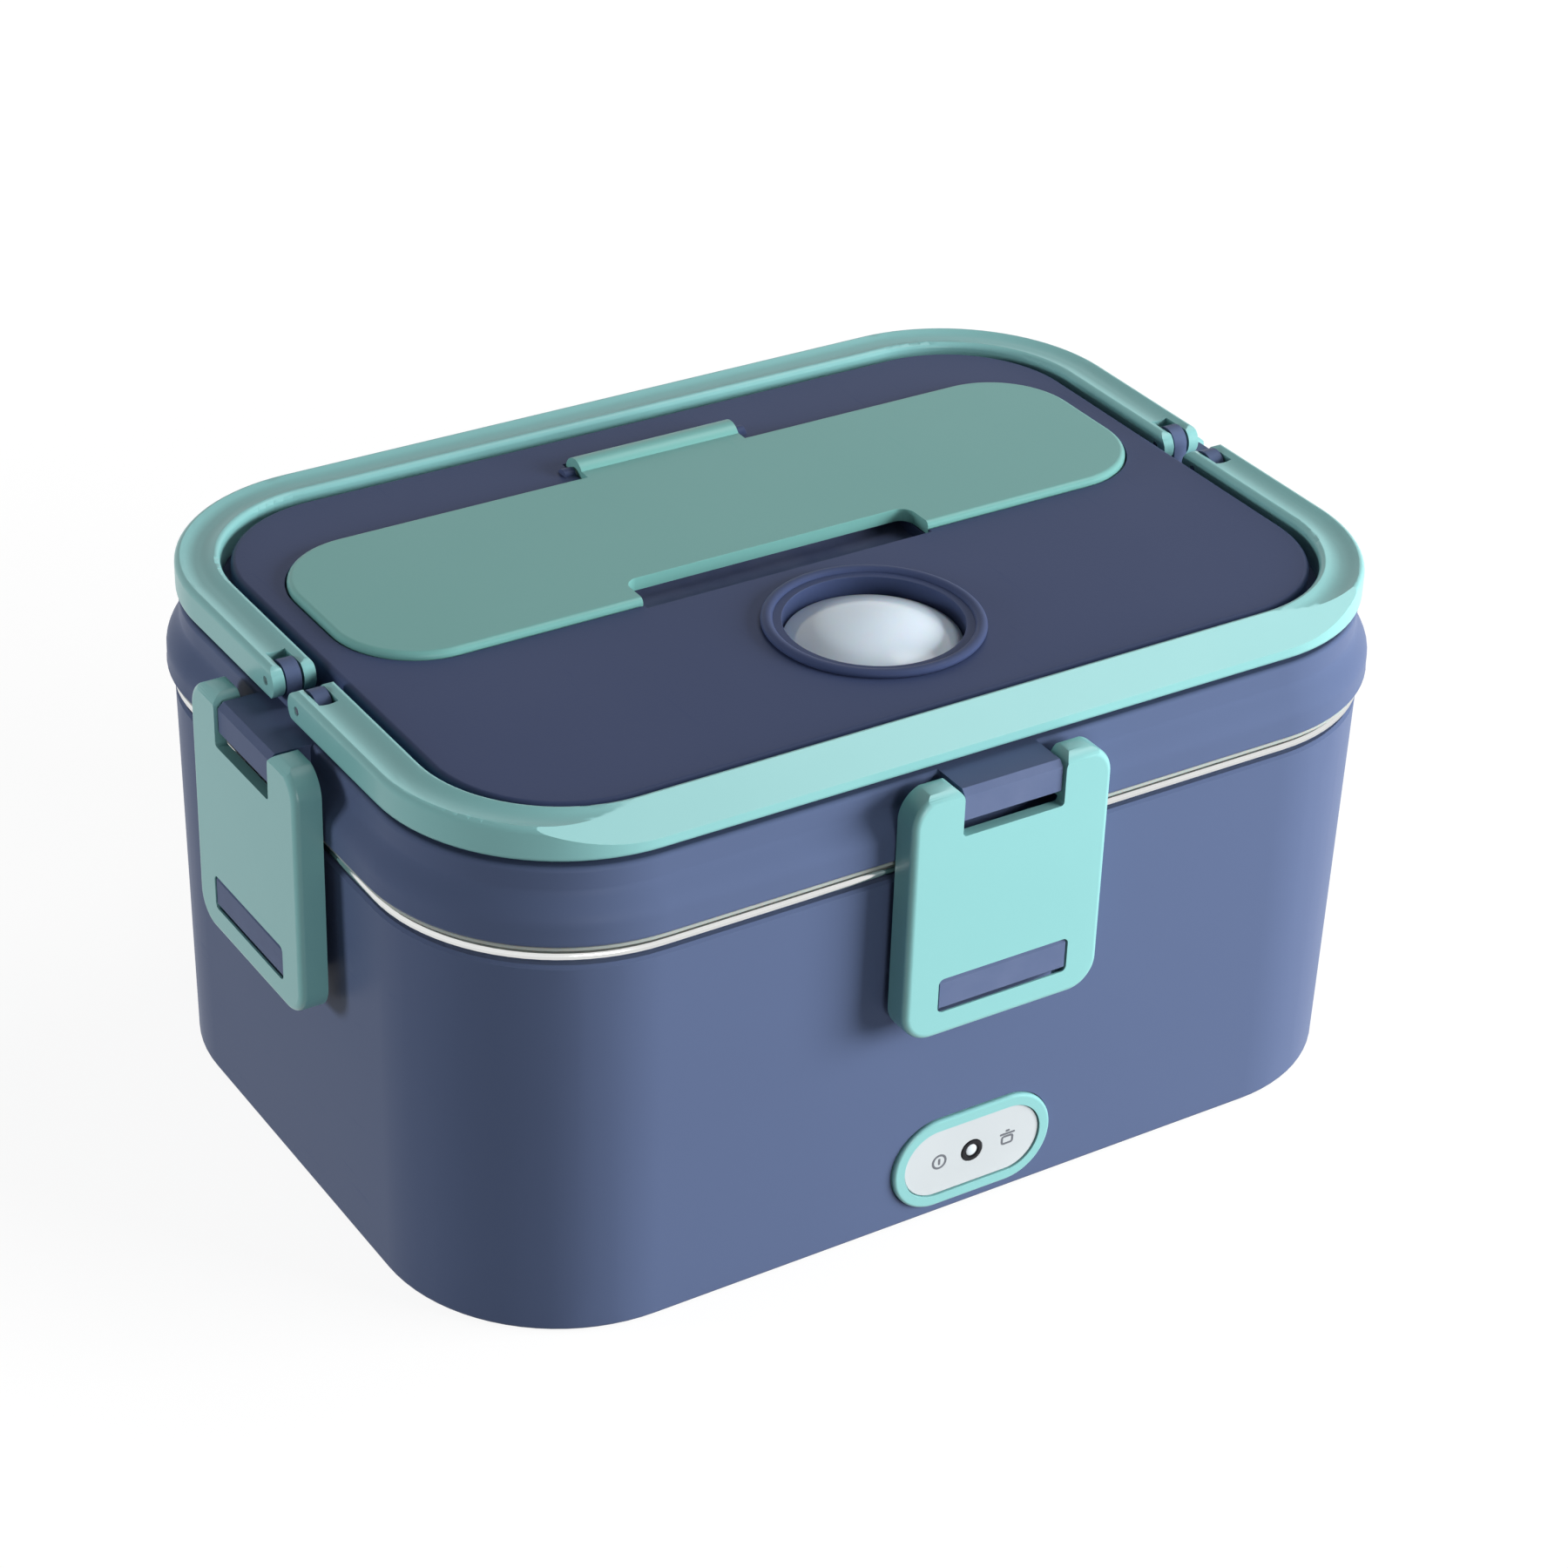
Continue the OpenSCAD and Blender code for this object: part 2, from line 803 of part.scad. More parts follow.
module lid_shell() {
    steps = 16;
    bead = 1.1;
    inner_u = lid_flare - lid_t - 0.2;
    low = lid_z + bead + 0.4;
    high = shelf_z - 1;
    outer = [for (i = [0:steps]) [skirt_u(i / steps), low + (high - low) * i / steps]];
    ledge_up = ledge_top_z - low;
    inner_start = ceil(ledge_up / (high - low) * steps);
    inner_end = floor((shelf_z - lid_t - low) / (high - low) * steps) - 1;
    inner = [for (i = [inner_end:-1:inner_start]) outer[i] - [lid_t, 0]];
    color(navy)
        union() {
            body_sweep()
                polygon(concat(
                    [[inner_u, lid_z]],
                    arc(lid_flare - bead, lid_z + bead, bead, -90, 0),
                    outer,
                    arc(-lid_draw - 1, high, 1, 0, 90, 4),
                    [
                        [locate_u, shelf_z], [locate_u, panel_z - lid_t - 0.1],
                        [locate_u - locate_ledge, panel_z - lid_t - 0.1],
                        [locate_u - locate_ledge, shelf_z - lid_t],
                        [outer[inner_end][0] - lid_t, shelf_z - lid_t]
                    ],
                    inner,
                    [
                        [outer[inner_start][0] - lid_t, ledge_top_z], [-6, ledge_top_z],
                        [-6, ledge_z], [inner_u, ledge_z]
                    ]
                ));
            for (side = [0:3])
                on_side(side)
                    hinge_block();
            for (x = [-1, 1], y = [-1, 1])
                translate([x * lug_x, y * handle_pivot_y, 0])
                    handle_lug();
        }
}

module at_cover() {
    translate([0, cover_y, 0])
        children();
}

// Trough that a finger reaches into, in front of the cover's notch
module grip_trough(extra, len) {
    translate([0, grip_y, panel_z + 5.5])
        cross_rod(grip_r + extra, len);
}

// Wall round that trough, which keeps it closed towards the compartment
module grip_wall() {
    intersection() {
        grip_trough(lid_t, grip_w + 2 * lid_t);
        translate([-grip_w, grip_y - 2 * grip_r, tray_z])
            cube([2 * grip_w, 4 * grip_r, cover_z - seat_gap - tray_z]);
    }
}

module lid_panel() {
    cap_len = body_len + 2 * panel_u;
    cap_wid = body_wid + 2 * panel_u;
    cap_r = corner_r + panel_u;
    ear_x = tab_w / 2 + gap;
    color(navy)
        difference() {
            union() {
                pillow(cap_len, cap_wid, cap_r, panel_z - lid_t, panel_z, 1.2);
                body_sweep()
                    translate([panel_u - lid_t, shelf_z + 0.2])
                        square([lid_t, panel_z - shelf_z - 1.6]);
                at_cover() {
                    round_plate(cover_len + 3, cover_wid + 3, cover_r + 1.5, panel_z - 3.4, panel_z - 1);
                    round_plate(tray_len + 2 * lid_t, tray_wid + 2 * lid_t, tray_r + lid_t,
                                tray_z - lid_t, panel_z - 1);
                }
                grip_wall();
                for (x = [-1, 1])
                    translate([tab_x + x * (ear_x + ear_t / 2), hinge_y, hinge_z])
                        cross_rod(ear_r, ear_t);
                translate([tab_x - ear_x - ear_t, pocket_y0, hinge_z - hinge_r - lid_t])
                    cube([2 * (ear_x + ear_t), pocket_y1 + lid_t - pocket_y0, panel_z - 1 - hinge_z + hinge_r + lid_t]);
                translate([valve_x, -valve_y, well_z - 1.6])
                    cylinder(r = well_r + 1.9, h = panel_z + 0.6 - well_z + 1.6);
            }
            at_cover() {
                round_plate(cover_len + 2 * gap, cover_wid + 2 * gap, cover_r + gap, cover_z - seat_gap, panel_z + 1);
            }
            difference() {
                at_cover()
                    round_plate(tray_len, tray_wid, tray_r, tray_z, panel_z + 1);
                grip_wall();
            }
            intersection() {
                grip_trough(0, grip_w);
                translate([-grip_w / 2, grip_y - grip_r, tray_z + 1])
                    cube([grip_w, 2 * grip_r, tray_depth + 4]);
            }
            translate([tab_x - ear_x, pocket_y0, hinge_z - hinge_r - 0.4])
                cube([2 * ear_x, pocket_y1 - pocket_y0, 3 * hinge_r]);
            translate([tab_x, hinge_y, hinge_z])
                cross_rod(hinge_pin_r + press_fit, tab_w + 2 * gap + 2 * ear_t - 1);
            translate([valve_x, -valve_y, well_z])
                cylinder(r = well_r, h = well_depth + 2);
            translate([valve_x, -valve_y, well_z - 3])
                cylinder(r = stem_r + seat_gap, h = 5);
        }
}

module lid_liner() {
    edge_u = seal_u - gap;
    plug_u = -bowl_inset - sheet - 1.2;
    color(white)
        difference() {
            union() {
                body_sweep()
                    polygon([
                        [edge_u, flange_low_z], [edge_u, ledge_z], [plug_u - 1.6, ledge_z],
                        [plug_u - 1.6, plug_top_z], [plug_u - 3, plug_top_z],
                        [plug_u - 3, plug_z], [plug_u - 0.8, plug_z], [plug_u, plug_z + 0.8],
                        [plug_u, flange_low_z]
                    ]);
                body_plate(plug_u - 2, plug_z, plug_top_z);
            }
            translate([valve_x, -valve_y, plug_z - 1])
                cylinder(r = vent_r, h = 4);
        }
}

// Silicone ring under the liner's flange, with two lips that meet the container's rim
module lid_seal() {
    inner_u = -bowl_inset - sheet - 0.9;
    color(white)
        body_sweep()
            polygon([
                [seal_u, flange_low_z], [seal_u, seal_z + 0.3], [seal_u - 0.3, seal_z],
                [seal_u - 1.8, seal_z], [seal_u - 2.2, seal_z + 1.4], [inner_u + 2.4, seal_z + 1.4],
                [inner_u + 2, seal_z], [inner_u + 1.1, seal_z], [inner_u, seal_z + 1.6],
                [inner_u, flange_low_z]
            ]);
}

module handle_pins() {
    color(steel)
        for (x = [-1, 1], y = [-1, 1])
            translate([x * lug_x, y * handle_pivot_y, pivot_z])
                cross_rod(handle_pin_r, handle_w - 0.3);
}

module latch_pins() {
    color(steel)
        for (side = [0:3])
            on_side(side)
                translate([0, -pivot_out, latch_z])
                    cross_rod(latch_pin_r, latch_w - 2 * pin_cover - gap);
}

module cover_pin() {
    color(steel)
        translate([tab_x, hinge_y, hinge_z])
            cross_rod(hinge_pin_r, tab_w + 2 * gap + 2 * ear_t - 1.6);
}

module handle_section() {
    dish_deep = 0.8;
    dish_half = handle_w / 2 - handle_edge;
    dish_r = (dish_half * dish_half + dish_deep * dish_deep) / (2 * dish_deep);
    translate([handle_u, pivot_z])
        difference() {
            round_rect(handle_w, handle_h, handle_edge);
            translate([0, handle_h / 2 - dish_deep + dish_r])
                circle(dish_r);
        }
}

// Half of the carrying ring with a groove underneath; its two ends are forks that turn on the pins
module handle() {
    groove_w = 3.4;
    groove_deep = 1.8;
    difference() {
        intersection() {
            body_sweep()
                handle_section();
            union() {
                translate([-body_len, -body_wid - handle_pivot_y, handle_z - 1])
                    cube([2 * body_len, body_wid, handle_h + 2]);
                translate([0, -handle_pivot_y, pivot_z])
                    cross_rod(eye_r, 2 * body_len);
            }
        }
        for (x = [-1, 1])
            translate([x * lug_x - fork_w / 2, -handle_pivot_y - fork_back, handle_z - 1])
                cube([fork_w, fork_back + eye_r + 1, handle_h + 2]);
        translate([0, -handle_pivot_y, pivot_z])
            cross_rod(handle_pin_r + run_fit, 2 * body_len);
        intersection() {
            body_sweep()
                translate([handle_u - groove_w / 2, handle_z - 1])
                    square([groove_w, groove_deep + 1]);
            translate([-body_len, -body_wid - handle_pivot_y - fork_back - 8, handle_z - 2])
                cube([2 * body_len, body_wid, handle_h]);
        }
    }
}

module handle_front() {
    grip_in = -body_wid / 2 + handle_inset + handle_w - handle_edge;
    slope = grip_fall / (handle_w - handle_edge);
    color(teal)
        difference() {
            handle();
            rotate([90, 0, 90])
                linear_extrude(2 * body_len, center = true)
                    polygon([
                        [grip_in, handle_z + handle_h],
                        [grip_in - 2 * handle_w, handle_z + handle_h - 2 * handle_w * slope],
                        [grip_in - 2 * handle_w, handle_z + 2 * handle_h],
                        [grip_in, handle_z + 2 * handle_h]
                    ]);
        }
}

module handle_back() {
    color(teal)
        rotate([0, 0, 180])
            handle();
}

// Flip latch, drawn lying flat: x across, y up from the pivot, z outward
module latch_flat() {
    full = latch_drop + arm_top;
    through = 3 * face_out;
    arm_in_r = 3;
    slot_low = -slot_drop - slot_h / 2;
    lead_in = latch_t - 0.4;
    lift_w = slot_w + 2;
    difference() {
        intersection() {
            translate([0, arm_top - full / 2, 0])
                pillow(latch_w, full, latch_corner, latch_behind, face_out, latch_edge);
            union() {
                translate([-latch_w, -latch_drop - 1, latch_behind - 1])
                    cube([2 * latch_w, latch_drop + 1, through]);
                cross_rod(arm_top + 0.02, 2 * latch_w);
            }
        }
        translate([0, (notch_b - latch_drop + latch_rim) / 2 + 0.5, 0])
            round_plate(latch_w - 2 * latch_rim, latch_drop + notch_b - latch_rim + 1, 3,
                        -through, face_out - latch_t);
        translate([0, notch_b + 10, 0])
            round_plate(notch_w, 20, 0.8, -through, through);
        for (side = [-1, 1])
            translate([side * notch_w / 2, arm_top - arm_in_r, -through])
                linear_extrude(2 * through)
                    difference() {
                        translate([-arm_in_r, 0])
                            square([2 * arm_in_r, arm_in_r + 1]);
                        translate([side * arm_in_r, 0])
                            circle(arm_in_r);
                    }
        translate([0, -slot_drop, 0])
            round_plate(slot_w, slot_h, 1.2, -through, through);
        rotate([90, 0, 90])
            linear_extrude(slot_w - 0.4, center = true)
                polygon([
                    [slot_low + 1, face_out - 0.4], [slot_low, face_out - 0.4],
                    [slot_low - lead_in, face_out - latch_t],
                    [slot_low - lead_in, face_out - latch_t - 1],
                    [slot_low + 1, face_out - latch_t - 1]
                ]);
        translate([-lift_w / 2, -latch_drop - 1, -through])
            cube([lift_w, latch_rim + 2, through + 0.3]);
        cross_rod(latch_pin_r + run_fit, latch_w - 2 * pin_cover);
    }
}

module latch(side) {
    color(teal)
        on_side(side)
            translate([0, -pivot_out, latch_z])
                rotate([90, 0, 0])
                    latch_flat();
}

module latch_front() {
    latch(0);
}

module latch_right() {
    latch(1);
}

module latch_back() {
    latch(2);
}

module latch_left() {
    latch(3);
}

module cutlery_cover() {
    front = cover_y - cover_wid / 2;
    top = cover_z + cover_t;
    lip = 1.2;
    lip_h = 2.4;
    color(teal)
        difference() {
            union() {
                at_cover() {
                    pillow(cover_len, cover_wid, cover_r, cover_z, top, 1.2);
                    difference() {
                        round_plate(tray_len - 3 * gap, tray_wid - 3 * gap, tray_r - 1, cover_z - lip_h, cover_z + 0.5);
                        round_plate(tray_len - 3 * gap - 2 * lip, tray_wid - 3 * gap - 2 * lip, tray_r - 1 - lip,
                                    cover_z - lip_h - 1, cover_z + 1);
                        translate([-grip_w / 2 - lid_t - gap, -cover_wid, cover_z - lip_h - 1])
                            cube([grip_w + 2 * (lid_t + gap), cover_wid - 8, lip_h + 1]);
                    }
                }
                translate([tab_x, hinge_y, hinge_z])
                    cross_rod(hinge_r, tab_w);
                translate([tab_x - tab_w / 2, cover_y + cover_wid / 2 - 2, top - 2.6])
                    cube([tab_w, hinge_y - cover_y - cover_wid / 2 + 2, 2.58]);
            }
            translate([0, front, 0])
                round_plate(grip_w, 2 * grip_depth, 3, cover_z - 1, top + 1);
            translate([tab_x, hinge_y, hinge_z])
                cross_rod(hinge_pin_r + run_fit, tab_w + 2);
        }
}

module valve_dome() {
    color(white)
        translate([valve_x, -valve_y, 0])
            difference() {
                union() {
                    intersection() {
                        translate([0, 0, dome_top_z - dome_ball])
                            sphere(dome_ball);
                        translate([0, 0, well_z + seat_gap])
                            cylinder(r = dome_r, h = well_depth);
                    }
                    translate([0, 0, plug_top_z + seat_gap + 1])
                        cylinder(r = stem_r, h = dome_top_z - 2 - plug_top_z - seat_gap - 1);
                }
                difference() {
                    intersection() {
                        translate([0, 0, dome_top_z - dome_ball])
                            sphere(dome_ball - 1.6);
                        translate([0, 0, well_z])
                            cylinder(r = dome_r - 1.8, h = well_depth);
                    }
                    cylinder(r = stem_r, h = panel_z);
                }
            }
}

module valve_seal() {
    foot_z = plug_top_z + seat_gap;
    color(white)
        translate([valve_x, -valve_y, foot_z])
            difference() {
                rotate_extrude()
                    polygon([
                        [0, 0], [seal_foot_r - 0.8, 0], [seal_foot_r, 0.6],
                        [stem_r + 1.4, seal_foot_h], [0, seal_foot_h]
                    ]);
                translate([0, 0, 1])
                    cylinder(r = stem_r + press_fit, h = seal_foot_h);
            }
}

outer_housing();
pot_liner();
heating_plate();
heater_element();
heater_clamp();
thermostat();
thermal_fuse();
internal_leads();
base_cover();
base_screws();
rubber_feet();
power_inlet();
inlet_pins();
indicator_board();
indicator_led();
indicator_bezel();
indicator_face();
lamp_lens();
food_container();
lid_shell();
lid_panel();
lid_liner();
lid_seal();
handle_pins();
latch_pins();
cover_pin();
handle_front();
handle_back();
latch_front();
latch_right();
latch_back();
latch_left();
cutlery_cover();
valve_dome();
valve_seal();
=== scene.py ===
import json
import math

import bmesh
import bpy
from mathutils import Matrix, Vector

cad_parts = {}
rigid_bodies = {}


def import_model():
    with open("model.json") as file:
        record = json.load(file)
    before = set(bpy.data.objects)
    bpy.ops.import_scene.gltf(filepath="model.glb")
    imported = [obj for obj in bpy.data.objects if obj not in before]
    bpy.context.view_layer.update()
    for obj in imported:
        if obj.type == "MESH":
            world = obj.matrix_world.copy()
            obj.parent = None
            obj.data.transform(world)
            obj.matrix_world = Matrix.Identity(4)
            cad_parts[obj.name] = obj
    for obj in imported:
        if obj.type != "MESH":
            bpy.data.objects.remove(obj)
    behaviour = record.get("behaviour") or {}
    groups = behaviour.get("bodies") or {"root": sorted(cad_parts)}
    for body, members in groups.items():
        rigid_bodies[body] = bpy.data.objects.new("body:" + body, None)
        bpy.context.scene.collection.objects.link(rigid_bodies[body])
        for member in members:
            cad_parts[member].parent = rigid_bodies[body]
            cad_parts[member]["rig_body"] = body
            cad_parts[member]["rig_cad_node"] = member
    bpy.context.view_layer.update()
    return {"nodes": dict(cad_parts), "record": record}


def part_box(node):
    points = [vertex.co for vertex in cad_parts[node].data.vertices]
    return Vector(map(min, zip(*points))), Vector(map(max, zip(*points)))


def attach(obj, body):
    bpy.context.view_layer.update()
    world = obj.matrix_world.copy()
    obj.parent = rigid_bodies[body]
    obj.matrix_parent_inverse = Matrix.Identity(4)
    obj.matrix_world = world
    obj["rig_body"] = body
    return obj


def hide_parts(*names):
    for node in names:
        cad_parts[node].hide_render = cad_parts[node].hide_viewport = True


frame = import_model()
mm = 0.001
print("frame loaded with", len(frame["nodes"]), "nodes")


# Camera, at the photograph's angle: the azimuth is measured from the front towards the right
cameraLook = {
    "place": (-0.37956, -0.58742, 0.48112),
    "azimuth": -33.17,
    "elevation": 31.16,
    "roll": 2.06,
    "lens": 90.58,
}


def aim(azimuth, elevation):
    # Unit vector from the object towards a place seen at this azimuth and elevation
    a, e = math.radians(azimuth), math.radians(elevation)
    return Vector((math.sin(a) * math.cos(e), -math.cos(a) * math.cos(e), math.sin(e)))


def placeCamera(look):
    back = aim(look["azimuth"], look["elevation"])
    right = (-back).cross(Vector((0, 0, 1))).normalized()
    up = right.cross(-back)
    turn = Matrix.Rotation(math.radians(look["roll"]), 3, back)
    axes = Matrix((turn @ right, turn @ up, back)).transposed().to_4x4()
    data = bpy.data.cameras.new("photoCamera")
    data.lens = look["lens"]
    camera = bpy.data.objects.new("photoCamera", data)
    bpy.context.scene.collection.objects.link(camera)
    camera.matrix_world = Matrix.Translation(look["place"]) @ axes
    bpy.context.scene.camera = camera


placeCamera(cameraLook)


class Wire:
    # A node's output; arithmetic on it adds Math nodes
    def __init__(self, paint, socket):
        self.paint = paint
        self.socket = socket

    def maths(self, operation, first, second):
        return self.paint.node("Math", {"operation": operation}, {0: first, 1: second})

    def __add__(self, other):
        return self.maths("ADD", self, other)

    def __radd__(self, other):
        return self.maths("ADD", other, self)

    def __sub__(self, other):
        return self.maths("SUBTRACT", self, other)

    def __rsub__(self, other):
        return self.maths("SUBTRACT", other, self)

    def __mul__(self, other):
        return self.maths("MULTIPLY", self, other)

    def __rmul__(self, other):
        return self.maths("MULTIPLY", other, self)

    def __gt__(self, other):
        return self.maths("GREATER_THAN", self, other)

    def __lt__(self, other):
        return self.maths("LESS_THAN", self, other)


class Paint:
    # A node tree while it is put together, with the shader that its values go to
    def __init__(self, tree, shader):
        self.tree = tree
        self.shader = tree.nodes[shader]

    def feed(self, name, value, node=None):
        socket = (node or self.shader).inputs[name]
        if isinstance(value, Wire):
            self.tree.links.new(value.socket, socket)
        elif isinstance(value, tuple) and len(value) == 3 and socket.type == "RGBA":
            socket.default_value = (*value, 1)
        else:
            socket.default_value = value

    def node(self, kind, settings=None, feeds=None, output=0):
        made = self.tree.nodes.new("ShaderNode" + kind)
        for name, value in (settings or {}).items():
            if name == "stops":
                while len(made.color_ramp.elements) < len(value):
                    made.color_ramp.elements.new(0.5)
                for element, (position, colour) in zip(made.color_ramp.elements, value):
                    element.position = position
                    element.color = (*colour, 1)
            else:
                setattr(made, name, value)
        for name, value in (feeds or {}).items():
            self.feed(name, value, made)
        return Wire(self, made.outputs[output])

    def objectPlace(self, stretch=(1, 1, 1)):
        place = self.node("TexCoord", output="Object")
        return self.node("Mapping", {}, {"Vector": place, "Scale": stretch})

    def noise(self, place, scale, detail=2.0, rough=0.5):
        feeds = {"Vector": place, "Scale": scale, "Detail": detail, "Roughness": rough}
        return self.node("TexNoise", {}, feeds, "Fac")

    def ramp(self, value, *stops):
        greys = [(at, (grey,) * 3) for at, grey in stops]
        return self.node("ValToRGB", {"stops": greys}, {"Fac": value})

    def blend(self, share, first, second):
        feeds = {"Factor": share, 6: first, 7: second}
        return self.node("Mix", {"data_type": "RGBA"}, feeds, 2)

    def bump(self, height, depth):
        return self.node("Bump", {}, {"Height": height, "Distance": depth})


def newFinish(name, even):
    # A material whose even values are set on the shader's own sockets
    material = bpy.data.materials.new(name)
    material.use_nodes = True
    paint = Paint(material.node_tree, "Principled BSDF")
    for socket, value in even.items():
        paint.feed(socket, value)
    return material, paint


def mouldedPlastic(name, look):
    # Faint clouding, orange peel and hairline scuffs, and a lighter colour where a piece marks its faces:
    # rubbed wear on rounded edges, and painted light in the finger trough
    wear = plasticWear
    material, paint = newFinish(name, look["even"])
    place = paint.objectPlace()
    cloud = paint.noise(place, look["cloudScale"], 3.0)
    peel = paint.noise(place, look["peelScale"], 2.0)
    streaks = paint.noise(paint.objectPlace(wear["scuffStretch"]), wear["scuffScale"], 4.0)
    scuffs = paint.ramp(streaks, (wear["scuffFrom"], 0.0), (wear["scuffTo"], 1.0))
    patches = paint.noise(place, wear["rubScale"], 4.0)
    # Marked faces blend toward a lighter colour: real wear on rounded edges, painted light in the finger
    # trough
    rubAndLight = paint.node("Attribute", {"attribute_name": "rubbed"}, {}, "Fac") * patches
    shade = paint.blend(cloud, look["colour"], look["deep"])
    paint.feed("Base Color", paint.blend(rubAndLight * look["rubAndLight"], shade, look["wornAndLit"]))
    clouded = look["roughness"] + (cloud - 0.5) * look["spread"]
    paint.feed("Roughness", clouded + rubAndLight * wear["rubDull"] + scuffs * wear["scuffDull"])
    paint.feed("Normal", paint.bump(peel + scuffs * wear["scuffHigh"], look["peelDepth"]))
    return material


plasticWear = {
    "scuffStretch": (1, 0.06, 1), "scuffScale": 900.0, "scuffFrom": 0.66, "scuffTo": 0.74,
    "scuffDull": 0.06, "scuffHigh": 0.2, "rubScale": 160.0, "rubDull": 0.1,
}
# The lighter colour in each look is real wear on rubbed edges, and painted light in the finger trough
plasticLooks = {
    "navy_shell": {
        "colour": (0.083, 0.113, 0.205), "deep": (0.077, 0.104, 0.190), "wornAndLit": (0.16, 0.19, 0.30),
        "roughness": 0.4, "spread": 0.06, "rubAndLight": 0.4, "cloudScale": 14.0,
        "peelScale": 420.0, "peelDepth": 0.000006,
        "even": {"IOR": 1.46, "Specular IOR Level": 0.07},
    },
    "navy_panel": {
        "colour": (0.046, 0.064, 0.140), "deep": (0.041, 0.058, 0.128), "wornAndLit": (0.10, 0.12, 0.20),
        "roughness": 0.42, "spread": 0.08, "rubAndLight": 0.4, "cloudScale": 18.0,
        "peelScale": 1500.0, "peelDepth": 0.000012,
        "even": {"IOR": 1.46, "Specular IOR Level": 0.12},
    },
    "teal_trim": {
        "colour": (0.205, 0.455, 0.455), "deep": (0.190, 0.430, 0.430), "wornAndLit": (0.42, 0.68, 0.68),
        "roughness": 0.3, "spread": 0.06, "rubAndLight": 0.35, "cloudScale": 22.0,
        "peelScale": 700.0, "peelDepth": 0.000006,
        "even": {"IOR": 1.46, "Specular IOR Level": 0.5},
    },
    "teal_cover": {
        "colour": (0.156, 0.378, 0.355), "deep": (0.145, 0.356, 0.334), "wornAndLit": (0.42, 0.68, 0.68),
        "roughness": 0.32, "spread": 0.08, "rubAndLight": 0.35, "cloudScale": 22.0,
        "peelScale": 1300.0, "peelDepth": 0.000008,
        "even": {"IOR": 1.46, "Specular IOR Level": 0.35},
    },
}
finishes = {slot: mouldedPlastic(slot + "_finish", look) for slot, look in plasticLooks.items()}
print("plastics painted")


def drawnSteel(name, look):
    # Polished sheet: fine level lines from drawing and polishing, and soft stains
    material, paint = newFinish(name, {"Metallic": 1.0})
    lines = paint.noise(paint.objectPlace(steelGrain["stretch"]), look["lineScale"], 3.0)
    stain = paint.noise(paint.objectPlace(), steelGrain["stainScale"], 4.0)
    paint.feed("Base Color", paint.blend(stain, look["colour"], look["stained"]))
    lined = look["roughness"] + (lines - 0.5) * steelGrain["lineDull"]
    paint.feed("Roughness", lined + (stain - 0.5) * steelGrain["stainDull"])
    paint.feed("Normal", paint.bump(lines, look["lineDepth"]))
    return material


steelGrain = {"stretch": (1, 1, 24), "lineDull": 0.1, "stainScale": 30.0, "stainDull": 0.08}
steelLooks = {
    "steel_sheet": {
        "colour": (0.80, 0.81, 0.80), "stained": (0.70, 0.71, 0.70),
        "roughness": 0.16, "lineScale": 60.0, "lineDepth": 0.0000015,
    },
    "aluminium_plate": {
        "colour": (0.75, 0.76, 0.78), "stained": (0.62, 0.63, 0.65),
        "roughness": 0.38, "lineScale": 420.0, "lineDepth": 0.00001,
    },
    "pin_steel": {
        "colour": (0.74, 0.75, 0.77), "stained": (0.60, 0.61, 0.62),
        "roughness": 0.24, "lineScale": 700.0, "lineDepth": 0.000004,
    },
    "brass_pin": {
        "colour": (0.72, 0.53, 0.25), "stained": (0.58, 0.42, 0.20),
        "roughness": 0.26, "lineScale": 700.0, "lineDepth": 0.000004,
    },
}
finishes.update({slot: drawnSteel(slot + "_finish", look) for slot, look in steelLooks.items()})
print("metals painted")


def softMoulding(name, look):
    # Silicone, rubber, nylon, ceramic and printed plates: a grained skin with slow changes of shade
    material, paint = newFinish(name, look.get("even", {}))
    place = paint.objectPlace()
    cloud = paint.noise(place, softSkin["cloudScale"], 3.0)
    grain = paint.noise(place, look["grain"])
    darker = tuple(softSkin["darker"] * v for v in look["colour"])
    paint.feed("Base Color", paint.blend(cloud, look["colour"], darker))
    clouded = look["roughness"] + (cloud - 0.5) * softSkin["cloudDull"]
    paint.feed("Roughness", clouded + (grain - 0.5) * softSkin["grainDull"])
    paint.feed("Normal", paint.bump(grain, look.get("depth", softSkin["depth"])))
    return material


